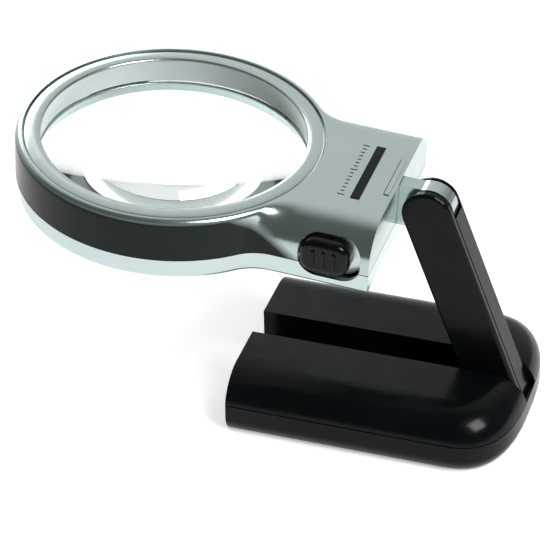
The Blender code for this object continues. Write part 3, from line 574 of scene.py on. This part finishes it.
bezel = [(BEZEL_INNER, HEAD_TOP - 0.9), (BEZEL_INNER + 0.08, HEAD_TOP - 0.6), (BEZEL_INNER + 0.3, HEAD_TOP - 0.35),
         (BEZEL_INNER + 0.7, HEAD_TOP - 0.16), (45.2, HEAD_TOP - 0.05), (46.2, HEAD_TOP), (47.2, HEAD_TOP - 0.06),
         (48.1, HEAD_TOP - 0.2), (48.7, HEAD_TOP - 0.36), (49.15, HEAD_TOP - 0.58), (BEZEL_OUTER, HEAD_TOP - 0.9),
         (BEZEL_OUTER, ledge + GAP), (BEZEL_SKIRT, ledge + GAP), (BEZEL_SKIRT, LENS_TOP + 0.5),
         (BEZEL_INNER + 0.9, LENS_TOP + 0.5)]
skin("lens_bezel_skin", turned(bezel, -RING_REACH), "silver_inner", "head", ["lens_bezel"], to_row=HEAD_TO_ROW,
     smooth=50.0)

sag = LENS_CURVE - math.sqrt(LENS_CURVE ** 2 - LENS_RADIUS ** 2)
radii = [LENS_RADIUS * i / 24 for i in range(25)]
face = [(r, sag - (LENS_CURVE - math.sqrt(LENS_CURVE ** 2 - r ** 2))) for r in radii]
lens = [(r, LENS_TOP + h) for r, h in face] + [(r, LENS_TOP - LENS_EDGE - h) for r, h in reversed(face)]
skin("lens_skin", turned(lens, -RING_REACH), "lens_acrylic", "head", ["lens"], to_row=HEAD_TO_ROW)

front = SWITCH_WALL - 1.0 - GAP
sections = []
for y, inset in ((front, 0.0), (front - 3.0, 0.0), (front - 3.8, 0.08), (front - 4.5, 0.35), (front - 5.0, 0.8),
                 (front - 5.35, 1.45), (front - 5.5, 2.4)):
    outline = rounded_oblong(KNOB_X, SWITCH_Z + 0.3, KNOB_SIZE, KNOB_CORNER, inset)
    sections.append([(x, y, z) for x, z in outline])
ribs = bmesh.new()
for k in (-1, 0, 1):
    x = KNOB_X + 3.4 * k
    box(x - 0.6, x + 0.6, front - 6.2, front - 5.0, SWITCH_Z - 2.6, SWITCH_Z + 3.2, ribs)
skin("switch_knob_skin", loft(sections), "black_gloss", "switch_knob", ["switch_knob"], [(JOIN, ribs)], HEAD_TO_ROW,
     edge=0.25)

ticks = bmesh.new()
for k in range(TICK_COUNT):
    y = TICK_START + TICK_STEP * k
    reach = 1.1 if k % 7 == 0 else 0.6
    box(TICK_X - reach, TICK_X + reach, y - 0.16, y + 0.16, HEAD_TOP + 0.01, HEAD_TOP + 0.09, ticks)
skin("neck_ticks", ticks, "ink_black", "head", [], to_row=HEAD_TO_ROW)


# ---------------------------------------------------------------- floor, light, camera

def stage_floor():
    g = surface("floor_finish", (0.86, 0.86, 0.86), 0.6, mottled=0.004, spread=0.03, grain=0.002, relief=0.00001)
    # Painted pool of light: near the object the floor is painted paler and made to glow. Both fall off with
    # distance, turning to grey farther away.
    away = g.node("ShaderNodeVectorMath", operation="LENGTH")
    g.link(g.place, away.inputs[0])
    near = g.remap(away.outputs["Value"], 0.5, 2.2, 1.0, 0.0)
    old = g.shader.inputs["Base Color"].links[0].from_socket
    g.put("Base Color", g.mix(near, (0.55, 0.56, 0.57), old))
    g.put("Emission Color", (1.0, 1.0, 1.0, 1.0))
    g.put("Emission Strength", g.remap(near, 0.0, 1.0, 0.0, 0.42))
    bm = bmesh.new()
    bmesh.ops.create_grid(bm, x_segments=2, y_segments=2, size=4.0)
    mesh = bpy.data.meshes.new("floor")
    bm.to_mesh(mesh)
    bm.free()
    mesh.materials.append(g.mat)
    obj = bpy.data.objects.new("floor", mesh)
    obj.location = (0.0, 0.0, -0.0002)
    bpy.context.collection.objects.link(obj)


def area_light(name, spot, aim, size, power, colour=(1.0, 1.0, 1.0)):
    data = bpy.data.lights.new(name, "AREA")
    data.shape = "RECTANGLE"
    data.size, data.size_y = size
    data.energy = power
    data.color = colour
    obj = bpy.data.objects.new(name, data)
    obj.location = spot
    obj.rotation_mode = "QUATERNION"
    obj.rotation_quaternion = (Vector(aim) - Vector(spot)).to_track_quat("-Z", "Y")
    bpy.context.collection.objects.link(obj)


def world_light(low, high):
    """Soft surroundings, dim on the camera's side and bright behind the object and overhead."""
    world = bpy.data.worlds.new("studio")
    world.use_nodes = True
    tree = world.node_tree
    coord = tree.nodes.new("ShaderNodeTexCoord")
    along = tree.nodes.new("ShaderNodeVectorMath")
    along.operation = "DOT_PRODUCT"
    along.inputs[1].default_value = (-0.35, 0.80, 0.38)
    tree.links.new(coord.outputs["Generated"], along.inputs[0])
    ramp = tree.nodes.new("ShaderNodeMapRange")
    ramp.interpolation_type = "SMOOTHSTEP"
    for key, number in (("From Min", 0.3), ("From Max", 0.92), ("To Min", low), ("To Max", high)):
        ramp.inputs[key].default_value = number
    tree.links.new(along.outputs["Value"], ramp.inputs["Value"])
    tree.nodes["Background"].inputs["Color"].default_value = (1.0, 1.0, 1.0, 1.0)
    tree.links.new(ramp.outputs["Result"], tree.nodes["Background"].inputs["Strength"])
    bpy.context.scene.world = world


def photo_camera():
    """Camera at the photograph's angle: azimuth, elevation and a slight roll, from 0.9 m away."""
    azimuth, elevation, turn, away = math.radians(18.79), math.radians(35.44), math.radians(-1.386), 0.9
    target = Vector((-0.07521, 0.0, 0.04053))
    back = Vector((math.sin(azimuth) * math.cos(elevation), -math.cos(azimuth) * math.cos(elevation),
                   math.sin(elevation)))
    right = Vector((math.cos(azimuth), math.sin(azimuth), 0.0))
    up = back.cross(right)
    rolled_right = right * math.cos(turn) + up * math.sin(turn)
    rolled_up = up * math.cos(turn) - right * math.sin(turn)
    data = bpy.data.cameras.new("camera")
    data.sensor_width = 36.0
    data.lens = 2687.9 / 550.0 * 36.0
    data.clip_start, data.clip_end = 0.05, 20.0
    obj = bpy.data.objects.new("camera", data)
    turned_by = Matrix((rolled_right, rolled_up, back)).transposed().to_4x4()
    obj.matrix_world = Matrix.Translation(target + back * away) @ turned_by
    bpy.context.collection.objects.link(obj)
    bpy.context.scene.camera = obj


stage_floor()
world_light(0.08, 0.84)
area_light("right_top", (0.72, -0.33, 1.05), (-0.03, 0.0, 0.03), (0.58, 0.58), 15.5)
area_light("left_back", (-1.05, 1.2, 0.62), (-0.10, 0.0, 0.06), (0.9, 0.8), 10.0)
photo_camera()
bpy.context.scene.view_settings.view_transform = "Standard"
